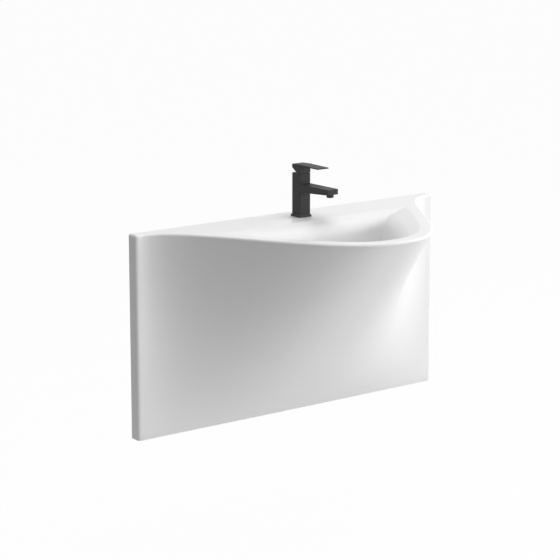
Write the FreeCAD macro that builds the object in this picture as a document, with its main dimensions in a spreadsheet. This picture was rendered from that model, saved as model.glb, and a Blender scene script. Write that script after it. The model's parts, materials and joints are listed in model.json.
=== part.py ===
import FreeCAD, Part
import math
import os
import Sketcher

from FreeCAD import Placement, Rotation, Vector

# A wall hung basin whose front apron swells from a nearly straight bottom edge to a bell-shaped rim.
# Millimetres. X runs along the wall, the wall is the plane y = 0, the room is on the -Y side, Z is up.
# The origin is the centre of the four wall bolts.

doc = FreeCAD.newDocument("wall_hung_basin")
sheet = doc.addObject("Spreadsheet::Sheet", "dims")
sheet_row = 0


class Size:
    """A length known both as a number and as an expression over the sheet."""

    def __init__(self, value, text=None):
        self.value = float(value)
        self.text = text if text is not None else repr(float(value))

    def combine(self, other, sign, value):
        return Size(value, "(%s %s %s)" % (self.text, sign, size(other).text))

    def __add__(self, other):
        return self.combine(other, "+", self.value + size(other).value)

    def __sub__(self, other):
        return self.combine(other, "-", self.value - size(other).value)

    def __mul__(self, other):
        return self.combine(other, "*", self.value * size(other).value)

    def __truediv__(self, other):
        return self.combine(other, "/", self.value / size(other).value)

    def __neg__(self):
        return Size(-self.value, "(0 - %s)" % self.text)

    def __radd__(self, other):
        return size(other) + self

    def __rsub__(self, other):
        return size(other) - self

    def __rmul__(self, other):
        return size(other) * self


def size(number):
    return number if isinstance(number, Size) else Size(number)


def dim(alias, value):
    """One driving dimension: a row of the sheet."""
    global sheet_row
    sheet_row += 1
    sheet.set("A%d" % sheet_row, alias)
    sheet.set("B%d" % sheet_row, repr(value))
    sheet.setAlias("B%d" % sheet_row, alias)
    return Size(value, "dims." + alias)


# --- driving dimensions ---------------------------------------------------------------------------

# basin, outside
basin_width = dim("basin_width", 1000)
basin_height = dim("basin_height", 546)
end_depth = dim("end_depth", 32)             # depth of the apron at its two ends
bell_reach = dim("bell_reach", 462)          # how far the rim swells past the end depth
end_flat = dim("end_flat", 17)               # straight part of the rim at each end
bell_power = dim("bell_power", 1.23)         # above 1 the bell has a broader crown
rise_power = dim("rise_power", 1.0)          # 1 makes the apron's centre line straight from foot to rim
rim_above_fixing = dim("rim_above_fixing", 85)
end_corner_round = dim("end_corner_round", 8)
rim_round = dim("rim_round", 6)
# basin, walls
apron_wall = dim("apron_wall", 13)
end_wall = dim("end_wall", 15)
deck_thickness = dim("deck_thickness", 22)
# bowl
deck_depth = dim("deck_depth", 135)          # flat ledge behind the bowl
rim_width = dim("rim_width", 37)
bowl_depth = dim("bowl_depth", 115)
bowl_wall = dim("bowl_wall", 12)
bowl_back_drop = dim("bowl_back_drop", 45)   # how far the back wall leans forward below the ledge
bowl_corner_draw = dim("bowl_corner_draw", 100)   # how far the fold pulls each corner inwards
bowl_corner_fold = dim("bowl_corner_fold", 8)     # depth over which that fold fades
bowl_corner_drift = dim("bowl_corner_drift", 0.35)
bowl_fold_depth = dim("bowl_fold_depth", 12)
bowl_front_draft = dim("bowl_front_draft", 1.1)
bowl_floor_round = dim("bowl_floor_round", 18)
# wall brackets
fixing_from_end = dim("fixing_from_end", 160)
fixing_spacing_z = dim("fixing_spacing_z", 60)
fixing_hole_radius = dim("fixing_hole_radius", 5.5)
bracket_width = dim("bracket_width", 50)
bracket_plate = dim("bracket_plate", 5)
bracket_arm = dim("bracket_arm", 62)
bracket_tail = dim("bracket_tail", 25)       # plate past the lower bolt
pad_thickness = dim("pad_thickness", 3)
deck_screw_from_wall = dim("deck_screw_from_wall", 38)
deck_screw_radius = dim("deck_screw_radius", 4)
deck_screw_flats = dim("deck_screw_flats", 13)
deck_screw_head = dim("deck_screw_head", 5.3)
insert_radius = dim("insert_radius", 6)
insert_length = dim("insert_length", 16)
# waste
drain_from_wall = dim("drain_from_wall", 250)
waste_tube_radius = dim("waste_tube_radius", 20.5)
waste_bore_radius = dim("waste_bore_radius", 17)
waste_flange_radius = dim("waste_flange_radius", 33)
waste_flange_thickness = dim("waste_flange_thickness", 2.5)
waste_gasket_thickness = dim("waste_gasket_thickness", 1)
waste_tube_length = dim("waste_tube_length", 33)
waste_washer_thickness = dim("waste_washer_thickness", 3)
waste_nut_height = dim("waste_nut_height", 10)
waste_nut_radius = dim("waste_nut_radius", 29)
plug_radius = dim("plug_radius", 28)
plug_thickness = dim("plug_thickness", 5)
plug_travel = dim("plug_travel", 6)
plug_stem_radius = dim("plug_stem_radius", 4)
plug_stem_length = dim("plug_stem_length", 32)
guide_height = dim("guide_height", 8)
# trap
pipe_radius = dim("pipe_radius", 16)
pipe_wall = dim("pipe_wall", 2)
pipe_bend_radius = dim("pipe_bend_radius", 24)
union_nut_radius = dim("union_nut_radius", 26)
union_nut_height = dim("union_nut_height", 15)
union_nut_lip = dim("union_nut_lip", 3)
trap_from_wall = dim("trap_from_wall", 95)
trap_radius = dim("trap_radius", 30)
trap_wall = dim("trap_wall", 3)
trap_head_height = dim("trap_head_height", 73)
trap_branch_radius = dim("trap_branch_radius", 19)
trap_branch_reach = dim("trap_branch_reach", 48)
trap_socket_depth = dim("trap_socket_depth", 20)
trap_outlet_drop = dim("trap_outlet_drop", 17)
dip_tube_radius = dim("dip_tube_radius", 15.5)
dip_tube_length = dim("dip_tube_length", 97)
trap_cup_radius = dim("trap_cup_radius", 34)
trap_cup_height = dim("trap_cup_height", 57)
trap_cup_overlap = dim("trap_cup_overlap", 15)
trap_cup_floor = dim("trap_cup_floor", 4)
branch_nut_radius = dim("branch_nut_radius", 25)
branch_nut_length = dim("branch_nut_length", 20)
outlet_pipe_gap = dim("outlet_pipe_gap", 2)  # from the pipe's end to the wall
# tap
tap_from_wall = dim("tap_from_wall", 72)
column_width = dim("column_width", 35)
column_height = dim("column_height", 118)
column_round = dim("column_round", 1.5)
foot_width = dim("foot_width", 40)
foot_height = dim("foot_height", 3)
foot_flare = dim("foot_flare", 4)
spout_reach = dim("spout_reach", 119)        # past the column's front face
spout_root_low = dim("spout_root_low", 68)
spout_root_high = dim("spout_root_high", 90)
spout_tip_low = dim("spout_tip_low", 77)
spout_tip_high = dim("spout_tip_high", 91)
aerator_from_tip = dim("aerator_from_tip", 12)
aerator_radius = dim("aerator_radius", 9.5)
aerator_height = dim("aerator_height", 7)
aerator_seat = dim("aerator_seat", 75.6)
aerator_socket_radius = dim("aerator_socket_radius", 8)
aerator_socket_depth = dim("aerator_socket_depth", 9)
waterway_radius = dim("waterway_radius", 4.5)
tap_hole_radius = dim("tap_hole_radius", 17.5)
hose_spacing = dim("hose_spacing", 16)
hose_port_radius = dim("hose_port_radius", 4.5)
hose_port_forward = dim("hose_port_forward", 5)
hose_port_depth = dim("hose_port_depth", 18)
inlet_passage_radius = dim("inlet_passage_radius", 2.6)
outlet_chase_width = dim("outlet_chase_width", 6)
outlet_chase_depth = dim("outlet_chase_depth", 1.5)
# cartridge
cartridge_bore_radius = dim("cartridge_bore_radius", 13.5)
cartridge_floor = dim("cartridge_floor", 66)
cartridge_seal = dim("cartridge_seal", 1.5)
cartridge_base = dim("cartridge_base", 3.5)
disc_thickness = dim("disc_thickness", 3)
disc_radius = dim("disc_radius", 10.6)
housing_wall = dim("housing_wall", 2.2)
housing_height = dim("housing_height", 36)
ring_nut_height = dim("ring_nut_height", 8)
pivot_height = dim("pivot_height", 97)       # lever pivot above the ledge
pivot_pin_radius = dim("pivot_pin_radius", 1.5)
stem_width = dim("stem_width", 6)
stem_top = dim("stem_top", 130)
stem_below_pivot = dim("stem_below_pivot", 13)
# lever
lever_gap = dim("lever_gap", 1)            # between the column's top and the lever's hub
lever_reach = dim("lever_reach", 78)         # past the column's front face
lever_rear_low = dim("lever_rear_low", 132.5)
lever_rear_high = dim("lever_rear_high", 141.5)
lever_crown = dim("lever_crown", 143.2)
lever_tip_low = dim("lever_tip_low", 139.3)
lever_tip_high = dim("lever_tip_high", 142.3)
lever_neck = dim("lever_neck", 135.5)
lever_notch = dim("lever_notch", 3.2)          # hub behind which the underside is cut away
grub_radius = dim("grub_radius", 2.5)
grub_length = dim("grub_length", 4)
# tap fixing
stud_radius = dim("stud_radius", 4)
stud_back = dim("stud_back", 9)
stud_in_tap = dim("stud_in_tap", 15)
stud_below_nut = dim("stud_below_nut", 14)
clamp_radius = dim("clamp_radius", 25)
clamp_slot = dim("clamp_slot", 14)
clamp_rubber = dim("clamp_rubber", 3)
clamp_plate = dim("clamp_plate", 2)
stud_nut_flats = dim("stud_nut_flats", 13)
stud_nut_height = dim("stud_nut_height", 10)
# fits
running = dim("running", 0.05)               # radial, between pieces that turn or slide
seated = dim("seated", 0.1)                  # between pieces that are screwed or pressed together
loose = dim("loose", 0.3)                    # between soft pieces and what carries them

bell_half_width = basin_width / 2 - end_flat
fixing_spacing_x = basin_width - fixing_from_end * 2
deck_top = rim_above_fixing
deck_under = deck_top - deck_thickness
basin_bottom = deck_top - basin_height
floor_top = deck_top - bowl_depth
floor_under = floor_top - bowl_wall

doc.recompute()


# --- making of sketches and features --------------------------------------------------------------

def bind(thing, name, length):
    thing.setExpression(name, size(length).text)


def bind_place(thing, at, rotation=None):
    thing.Placement = Placement(Vector(*[size(value).value for value in at]), rotation or Rotation())
    for axis, value in zip("xyz", at):
        bind(thing, "Placement.Base." + axis, value)


def new_body(label, at=(0, 0, 0), rotation=None):
    body = doc.addObject("PartDesign::Body", label)
    body.Label = label
    bind_place(body, at, rotation)
    return body


def new_sketch(body, plane, offset=0):
    sketch = body.newObject("Sketcher::SketchObject", body.Name + "_sketch")
    origin_plane = [item for item in body.Origin.OriginFeatures if item.Role == plane][0]
    sketch.AttachmentSupport = [(origin_plane, "")]
    sketch.MapMode = "FlatFace"
    sketch.AttachmentOffset = Placement(Vector(0, 0, size(offset).value), Rotation())
    bind(sketch, "AttachmentOffset.Base.z", offset)
    return sketch


def pin_point(sketch, geometry, point, x, y):
    """Holds one point of the sketch at x, y from its origin."""
    for kind, length in (("DistanceX", size(x)), ("DistanceY", size(y))):
        index = sketch.addConstraint(
            Sketcher.Constraint(kind, -1, 1, geometry, point, length.value))
        sketch.setExpression("Constraints[%d]" % index, length.text)


def add_polygon(sketch, corners):
    places = [Vector(size(x).value, size(y).value, 0) for x, y in corners]
    count = len(places)
    first = sketch.GeometryCount
    for index in range(count):
        sketch.addGeometry(Part.LineSegment(places[index], places[(index + 1) % count]))
    for index in range(count):
        following = first + (index + 1) % count
        sketch.addConstraint(Sketcher.Constraint("Coincident", first + index, 2, following, 1))
    for index, (x, y) in enumerate(corners):
        pin_point(sketch, first + index, 1, x, y)


def add_circle(sketch, x, y, radius):
    radius = size(radius)
    centre = Vector(size(x).value, size(y).value, 0)
    geometry = sketch.addGeometry(Part.Circle(centre, Vector(0, 0, 1), radius.value))
    pin_point(sketch, geometry, 3, x, y)
    index = sketch.addConstraint(Sketcher.Constraint("Radius", geometry, radius.value))
    sketch.setExpression("Constraints[%d]" % index, radius.text)


def add_rectangle(sketch, x_low, x_high, y_low, y_high):
    add_polygon(sketch, [(x_low, y_low), (x_high, y_low), (x_high, y_high), (x_low, y_high)])


def add_hexagon(sketch, flats):
    corner = flats / math.sqrt(3)
    add_polygon(sketch, [(corner * math.cos(math.radians(60 * step)),
                          corner * math.sin(math.radians(60 * step))) for step in range(6)])


def feature(body, kind, sketch, length, symmetric=False, reverse=False):
    thing = body.newObject("PartDesign::" + kind, body.Name + "_" + kind.lower())
    thing.Profile = sketch
    thing.SideType = "Symmetric" if symmetric else "One side"
    thing.Reversed = reverse
    thing.Length = size(length).value
    bind(thing, "Length", length)
    return thing


def pad(body, sketch, length, symmetric=False):
    return feature(body, "Pad", sketch, length, symmetric)


def pocket(body, sketch, length, symmetric=False, reverse=False):
    """Cuts, and stops the build if the cut met no material."""
    doc.recompute()
    before = body.Shape.Volume
    thing = feature(body, "Pocket", sketch, length, symmetric, reverse)
    doc.recompute()
    if not body.Shape.Volume < before - 1e-6:
        raise RuntimeError("a pocket of %s cuts nothing" % body.Label)
    return thing


def revolve(body, sketch, kind="Revolution"):
    thing = body.newObject("PartDesign::" + kind, body.Name + "_" + kind.lower())
    thing.Profile = sketch
    thing.ReferenceAxis = (sketch, ["V_Axis"])
    thing.Angle = 360
    return thing


def turned(label, corners, at, rotation=None):
    """A turned piece: its half section as (radius, height) corners."""
    body = new_body(label, at, rotation)
    sketch = new_sketch(body, "XZ_Plane")
    add_polygon(sketch, corners)
    revolve(body, sketch)
    return body


def ring(label, inner, outer, low, high, at, rotation=None):
    return turned(label, [(inner, low), (outer, low), (outer, high), (inner, high)], at, rotation)


def hexagon(label, flats, bore, low, high, at):
    body = new_body(label, at)
    sketch = new_sketch(body, "XY_Plane", low)
    add_hexagon(sketch, flats)
    add_circle(sketch, 0, 0, bore)
    pad(body, sketch, high - low)
    return body


def round_edges(body, radius, wanted):
    """Fillets the edges of the body that the test picks out."""
    doc.recompute()
    last = body.Tip
    names = ["Edge%d" % (index + 1) for index, edge in enumerate(last.Shape.Edges) if wanted(edge)]
    fillet = body.newObject("PartDesign::Fillet", body.Name + "_fillet")
    fillet.Base = (last, names)
    fillet.Radius = size(radius).value
    bind(fillet, "Radius", radius)
    return fillet


def finished(label, shape, place=None):
    """A piece whose shape is worked out from the sizes in this script."""
    thing = doc.addObject("Part::Feature", label)
    thing.Label = label
    thing.Shape = shape
    thing.Placement = place or Placement()
    return thing


def cylinder(radius, low, high, x=0, y=0):
    return Part.makeCylinder(radius, high - low, Vector(x, y, low))


def lying_cylinder(radius, y_low, y_high, z, x=0):
    return Part.makeCylinder(radius, y_high - y_low, Vector(x, y_low, z), Vector(0, 1, 0))


# local z of a piece turned this way points at the wall
toward_wall = Rotation(Vector(1, 0, 0), -90)


# --- basin shell ----------------------------------------------------------------------------------

# the rim's rounding takes its sharp edge back, so the sharp edge starts further out
rim_wedge = math.atan(basin_height.value / bell_reach.value)
sharp_reach = bell_reach.value + rim_round.value * (1 / math.tan(rim_wedge / 2) - 1)


def bell(x):
    share = min(abs(x) / bell_half_width.value, 1)
    return (1 + math.cos(math.pi * share ** bell_power.value)) / 2


def front_depth(x, height):
    """Depth of the apron's face in front of the wall, height counted from its bottom edge."""
    rise = max(height / basin_height.value, 0) ** rise_power.value
    return end_depth.value + sharp_reach * rise * bell(x)


def rim_depth(x):
    return end_depth.value + bell_reach.value * bell(x)


def face_stretch(x, height):
    """Depth along Y that one unit of wall thickness takes where the face is slanted."""
    step = 0.5
    along = (front_depth(x + step, height) - front_depth(x - step, height)) / (2 * step)
    inside = min(max(height, step), basin_height.value - step)
    up = (front_depth(x, inside + step) - front_depth(x, inside - step)) / (2 * step)
    return math.sqrt(1 + along ** 2 + up ** 2)


def spaced(low, high, count):
    return [low + (high - low) * index / (count - 1) for index in range(count)]


def smooth_edge(places):
    """One curve through the places, with the same parameters for every section of a loft."""
    curve = Part.BSplineCurve()
    curve.interpolate(Points=places, Parameters=spaced(0.0, 1.0, len(places)))
    return curve.toShape()


def apron_section(height):
    z = basin_bottom.value + height
    half = basin_width.value / 2
    radius = end_corner_round.value
    mid = radius * (1 - math.sqrt(0.5))
    y_end = -end_depth.value
    crest = smooth_edge([Vector(x, -front_depth(x, height), z)
                         for x in spaced(-half + radius, half - radius, 41)])
    left = Part.Arc(Vector(-half, y_end + radius, z), Vector(-half + mid, y_end + mid, z),
                    Vector(-half + radius, y_end, z)).toShape()
    right = Part.Arc(Vector(half - radius, y_end, z), Vector(half - mid, y_end + mid, z),
                     Vector(half, y_end + radius, z)).toShape()
    corners = [Vector(half, y_end + radius, z), Vector(half, 0, z),
               Vector(-half, 0, z), Vector(-half, y_end + radius, z)]
    sides = [Part.makeLine(corners[index], corners[index + 1]) for index in range(3)]
    return Part.Wire([left, crest, right] + sides)


def cavity_section(height):
    z = basin_bottom.value + height
    half = basin_width.value / 2 - end_wall.value
    behind = end_depth.value
    places = [Vector(x, -front_depth(x, height) + apron_wall.value * face_stretch(x, height), z)
              for x in spaced(-half, half, 41)]
    corners = [places[-1], Vector(half, behind, z), Vector(-half, behind, z), places[0]]
    sides = [Part.makeLine(corners[index], corners[index + 1]) for index in range(3)]
    return Part.Wire([smooth_edge(places)] + sides)


def inner_rim_place(x):
    """The rim's inner edge: the outer edge moved inwards square to itself by the rim's width."""
    step = 0.5
    slope = (rim_depth(x + step) - rim_depth(x - step)) / (2 * step)
    stretch = math.sqrt(1 + slope ** 2)
    return x + rim_width.value * slope / stretch, rim_depth(x) - rim_width.value / stretch


def bowl_corner():
    """Where the rim's inner edge meets the front of the ledge, as a place on the outer edge."""
    low, high = 0.0, bell_half_width.value
    for _ in range(60):
        middle = (low + high) / 2
        if inner_rim_place(middle)[1] > deck_depth.value:
            low = middle
        else:
            high = middle
    return low


rim_places = [inner_rim_place(x) for x in spaced(-bowl_corner(), bowl_corner(), 31)]
corner_x = rim_places[-1][0]
apex_depth = max(depth for x, depth in rim_places)


def bowl_section(depth, grow=0.0, sink=0.0):
    """A level cut of the bowl. Depth is below the rim, grow moves it outwards, sink lowers it."""
    fold = 1 - math.exp(-depth / bowl_fold_depth.value)
    radius = bowl_floor_round.value
    over = max(depth - (bowl_depth.value - radius), 0)
    roll = radius - math.sqrt(max(radius ** 2 - over ** 2, 0))
    corner_fold = 1 - math.exp(-depth / bowl_corner_fold.value)
    corner = (corner_x - bowl_corner_draw.value * corner_fold - bowl_corner_drift.value * depth
              - roll + grow)
    back = deck_depth.value + bowl_back_drop.value * fold + roll - grow
    front = apex_depth - bowl_front_draft.value * depth - roll + grow
    z = deck_top.value - depth - sink
    scale = (front - back) / (apex_depth - deck_depth.value)
    places = [Vector(x * corner / corner_x, -(back + (y - deck_depth.value) * scale), z)
              for x, y in rim_places]
    return Part.Wire([smooth_edge(places), Part.makeLine(places[-1], places[0])])


def make_basin_shell():
    height = basin_height.value
    levels = spaced(0, height, 7)
    outside = Part.makeLoft([apron_section(level) for level in levels], True, False)
    top = deck_top.value
    rim_edges = [edge for edge in outside.Edges
                 if all(abs(vertex.Z - top) < 0.01 for vertex in edge.Vertexes)
                 and min(vertex.Y for vertex in edge.Vertexes) < -1]
    outside = outside.makeFillet(rim_round.value, rim_edges)
    cavity_top = height - deck_thickness.value
    cavity = Part.makeLoft([cavity_section(level) for level in spaced(-2, cavity_top, 7)], True, False)

    depth = bowl_depth.value
    round_start = depth - bowl_floor_round.value
    rolls = [round_start + bowl_floor_round.value * math.sin(math.radians(angle))
             for angle in (0, 30, 55, 75, 90)]
    inner_depths = [0, 2.5, 6, 11, 19, 32, 52, 75] + rolls
    inside = Part.makeLoft([bowl_section(level) for level in inner_depths], True, False)
    wall = bowl_wall.value
    outer_depths = [level for level in inner_depths if level >= 6]
    under = Part.makeLoft([bowl_section(level, grow=wall, sink=wall) for level in outer_depths],
                          True, False)

    shell = outside.cut(cavity).fuse(under.common(outside)).cut(inside)
    drain_y = -drain_from_wall.value
    flange_seat = floor_top.value - waste_flange_thickness.value - waste_gasket_thickness.value
    shell = shell.cut(cylinder(waste_flange_radius.value + 1, flange_seat, floor_top.value + 1,
                               y=drain_y))
    shell = shell.cut(cylinder(waste_tube_radius.value + 1, floor_under.value - 1, floor_top.value,
                               y=drain_y))
    tap_y = -tap_from_wall.value
    shell = shell.cut(cylinder(tap_hole_radius.value, deck_under.value - 1, top + 1, y=tap_y))
    for side in (-1, 1):
        shell = shell.cut(cylinder(insert_radius.value, deck_under.value - 1,
                                   deck_under.value + insert_length.value + 1,
                                   x=side * fixing_spacing_x.value / 2,
                                   y=-deck_screw_from_wall.value))
    return finished("basin_shell", shell.removeSplitter())


# --- wall brackets --------------------------------------------------------------------------------

bracket_top = deck_under - pad_thickness
bracket_low = -(fixing_spacing_z / 2) - bracket_tail


def make_bracket(label, side):
    """An L of steel plate with one cheek on its outer edge."""
    body = new_body(label, (fixing_spacing_x / 2 * side, 0, 0))
    sketch = new_sketch(body, "YZ_Plane")
    under_arm = bracket_top - bracket_plate
    add_polygon(sketch, [(0, bracket_low), (0, bracket_top), (-bracket_arm, bracket_top),
                         (-bracket_arm, under_arm), (-bracket_plate, under_arm),
                         (-bracket_plate, bracket_low)])
    pad(body, sketch, bracket_width, symmetric=True)
    cheek = new_sketch(body, "YZ_Plane", bracket_width / 2 * side - bracket_plate * (side + 1) / 2)
    add_polygon(cheek, [(-bracket_plate / 2, bracket_low), (-bracket_plate / 2, under_arm + 1),
                        (-bracket_arm, under_arm + 1), (-bracket_arm, under_arm - bracket_plate)])
    pad(body, cheek, bracket_plate)
    bolts = new_sketch(body, "XZ_Plane")
    for end in (-1, 1):
        add_circle(bolts, 0, fixing_spacing_z / 2 * end, fixing_hole_radius)
    pocket(body, bolts, bracket_plate * 3, symmetric=True)
    screw = new_sketch(body, "XY_Plane", bracket_top)
    add_circle(screw, 0, -deck_screw_from_wall, deck_screw_radius + 0.5)
    pocket(body, screw, bracket_plate * 3, symmetric=True)
    return body


def paired(label, make):
    """Two alike solids, one over each bracket, in one node."""
    shapes = []
    for side in (-1, 1):
        shape = make()
        shape.translate(Vector(side * fixing_spacing_x.value / 2, -deck_screw_from_wall.value, 0))
        shapes.append(shape)
    return finished(label, Part.makeCompound(shapes))


def make_bracket_pad():
    low, high = bracket_top.value, deck_under.value
    width = bracket_width.value
    back = deck_screw_from_wall.value - seated.value
    plate = Part.makeBox(width, bracket_arm.value - seated.value, high - low,
                         Vector(-width / 2, back - bracket_arm.value + seated.value, low))
    return plate.cut(cylinder(insert_radius.value, low - 1, high + 1))


def make_insert():
    low = deck_under.value
    high = low + insert_length.value
    return cylinder(insert_radius.value, low, high).cut(
        cylinder(deck_screw_radius.value, low - 1, high + 1))


washer_thickness = dim("washer_thickness", 1.6)
washer_radius = dim("washer_radius", 8)


def make_bracket_washer():
    high = bracket_top.value - bracket_plate.value
    low = high - washer_thickness.value
    return cylinder(washer_radius.value, low, high).cut(
        cylinder(deck_screw_radius.value + seated.value, low - 1, high + 1))


def make_bracket_screw():
    head_top = bracket_top.value - bracket_plate.value - washer_thickness.value
    head_low = head_top - deck_screw_head.value
    corner = deck_screw_flats.value / math.sqrt(3)
    corners = [Vector(corner * math.cos(math.radians(60 * step)),
                      corner * math.sin(math.radians(60 * step)), head_low) for step in range(7)]
    head = Part.Face(Part.makePolygon(corners)).extrude(Vector(0, 0, deck_screw_head.value))
    tip = deck_under.value + insert_length.value - 1
    return head.fuse(cylinder(deck_screw_radius.value - seated.value, head_top - 1, tip))


# --- waste ----------------------------------------------------------------------------------------

drain_place = (0, -drain_from_wall, floor_top)
flange_under = -waste_flange_thickness
gasket_under = flange_under - waste_gasket_thickness
tube_end = gasket_under - waste_tube_length
guide_low = tube_end + 4
guide_high = guide_low + guide_height
washer_high = -bowl_wall
washer_low = washer_high - waste_washer_thickness
nut_low = washer_low - waste_nut_height


def make_waste():
    turned("waste_body", [
        (waste_bore_radius, tube_end), (waste_tube_radius, tube_end),
        (waste_tube_radius, flange_under), (waste_flange_radius, flange_under),
        (waste_flange_radius, -0.8), (waste_flange_radius - 1.2, 0),
        (waste_bore_radius + 2, -0.6), (waste_bore_radius, -2.6)], drain_place)
    ring("waste_gasket", waste_tube_radius + seated, waste_flange_radius - 0.5,
         gasket_under, flange_under, drain_place)
    ring("waste_washer", waste_tube_radius + loose, waste_nut_radius + 2, washer_low, washer_high,
         drain_place)
    nut = ring("waste_nut", waste_tube_radius + seated, waste_nut_radius - 3, nut_low, washer_low,
               drain_place)
    for side in (-1, 1):
        wing = new_sketch(nut, "XY_Plane", nut_low)
        add_rectangle(wing, (waste_nut_radius - 4) * side, waste_nut_radius * side, -4, 4)
        pad(nut, wing, waste_nut_height)

    guide = new_body("plug_guide", drain_place)
    spider = new_sketch(guide, "XY_Plane", guide_low)
    add_circle(spider, 0, 0, plug_stem_radius + 3)
    add_circle(spider, 0, 0, plug_stem_radius + running)
    pad(guide, spider, guide_height)
    inner_reach = plug_stem_radius + 2
    for turn in (0, 1):
        arms = new_sketch(guide, "XY_Plane", guide_low)
        for end in (-1, 1):
            if turn:
                add_rectangle(arms, -1.5, 1.5, inner_reach * end, (waste_bore_radius - 0.3) * end)
            else:
                add_rectangle(arms, inner_reach * end, (waste_bore_radius - 0.3) * end, -1.5, 1.5)
        pad(guide, arms, guide_height)
    rim = new_sketch(guide, "XY_Plane", guide_low)
    add_circle(rim, 0, 0, waste_bore_radius)
    add_circle(rim, 0, 0, waste_bore_radius - 1.5)
    pad(guide, rim, 2)

    crown = plug_thickness + 0.3
    boss = waste_bore_radius - 5
    turned("waste_plug", [
        (0, 0.3), (0, crown), (plug_radius * 0.6, crown - 0.7), (plug_radius - 1.5, crown - 2.2),
        (plug_radius, crown - 3.4), (plug_radius, 0.9), (plug_radius - 0.8, 0.3), (boss, 0.3),
        (boss, -6), (boss - 4, -6), (boss - 4, 0.3)], drain_place)
    ring("plug_seal", boss + seated, waste_bore_radius - loose, -5.6, -3.2, drain_place)
    turned("plug_stem", [
        (0, 0.3), (boss - 4, 0.3), (boss - 4, -2), (plug_stem_radius, -4),
        (plug_stem_radius, -plug_stem_length), (0, -plug_stem_length)], drain_place)


# --- trap -----------------------------------------------------------------------------------------

elbow_top = tube_end - 1.5
elbow_level = elbow_top - 7 - pipe_bend_radius     # axis of the level pipes, from the bowl's floor
inlet_level = floor_top + elbow_level
outlet_level = inlet_level - trap_outlet_drop
head_top_level = inlet_level + trap_branch_radius + 1
branch_front = -trap_from_wall - trap_branch_reach
branch_back = -trap_from_wall + trap_branch_reach


def make_elbow():
    """Pipe from under the waste that turns towards the wall and ends in the trap's inlet."""
    bend = pipe_bend_radius.value
    level = inlet_level.value
    top = (floor_top + elbow_top).value
    y = -drain_from_wall.value
    end = (branch_front + trap_socket_depth).value - 1

    def run(radius):
        start = Vector(0, y, top)
        turn_start = Vector(0, y, level + bend)
        half_way = Vector(0, y + bend * (1 - math.sqrt(0.5)), level + bend * (1 - math.sqrt(0.5)))
        turn_end = Vector(0, y + bend, level)
        path = Part.Wire([Part.makeLine(start, turn_start),
                          Part.Arc(turn_start, half_way, turn_end).toShape(),
                          Part.makeLine(turn_end, Vector(0, end, level))])
        outline = Part.Wire([Part.makeCircle(radius, start, Vector(0, 0, -1))])
        return path.makePipeShell([outline], True, False)

    pipe = run(pipe_radius.value)
    collar = cylinder(waste_tube_radius.value - 1, top - 2.5, top, y=y)
    return finished("trap_elbow", pipe.fuse(collar).cut(run(pipe_radius.value - pipe_wall.value)))


def make_trap_head():
    y = -trap_from_wall.value
    inlet, outlet = inlet_level.value, outlet_level.value
    top = head_top_level.value
    low = top - trap_head_height.value
    radius, wall = trap_radius.value, trap_wall.value
    branch = trap_branch_radius.value
    front, back = branch_front.value, branch_back.value
    socket = pipe_radius.value + seated.value
    depth = trap_socket_depth.value
    bore = pipe_radius.value - pipe_wall.value
    dip = dip_tube_radius.value
    head = cylinder(radius, low, top, y=y)
    head = head.fuse(lying_cylinder(branch, front, y, inlet))
    head = head.fuse(lying_cylinder(branch, y, back, outlet))
    head = head.cut(cylinder(radius - wall, low - 1, top - wall, y=y))
    head = head.fuse(cylinder(dip, top - dip_tube_length.value, top - wall / 2, y=y))
    head = head.fuse(lying_cylinder(pipe_radius.value, front + depth, y, inlet))
    head = head.cut(cylinder(dip - wall * 0.75, top - dip_tube_length.value - 1, top - wall, y=y))
    head = head.cut(lying_cylinder(bore, front, y, inlet))
    head = head.cut(lying_cylinder(socket, front - 1, front + depth, inlet))
    head = head.cut(lying_cylinder(bore, y + radius - wall - 5, back, outlet))
    head = head.cut(lying_cylinder(socket, back - depth, back + 1, outlet))
    return finished("trap_head", head.removeSplitter())


def branch_fittings(name, level, at_y, rotation):
    """The nut and the tapered seal that hold a pipe in one branch. Local z points out of the branch."""
    place = (0, at_y, level)
    bore = pipe_radius + seated * 2
    thread = trap_branch_radius + seated
    ring(name + "_seal", pipe_radius + seated, trap_branch_radius - 0.4, 0.1, 3.6, place, rotation)
    lip = 3.8
    nut = turned(name + "_nut", [
        (bore, lip), (thread, lip), (thread, lip - branch_nut_length + 3),
        (branch_nut_radius, lip - branch_nut_length + 3), (branch_nut_radius, lip + 1.5),
        (branch_nut_radius - 1.5, lip + 3), (bore, lip + 3)], place, rotation)
    ribs = new_sketch(nut, "XY_Plane", lip - branch_nut_length + 6)
    for step in range(8):
        angle = math.radians(45 * step)
        add_circle(ribs, branch_nut_radius * math.cos(angle), branch_nut_radius * math.sin(angle), 1.6)
    pad(nut, ribs, branch_nut_length - 8)


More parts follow.
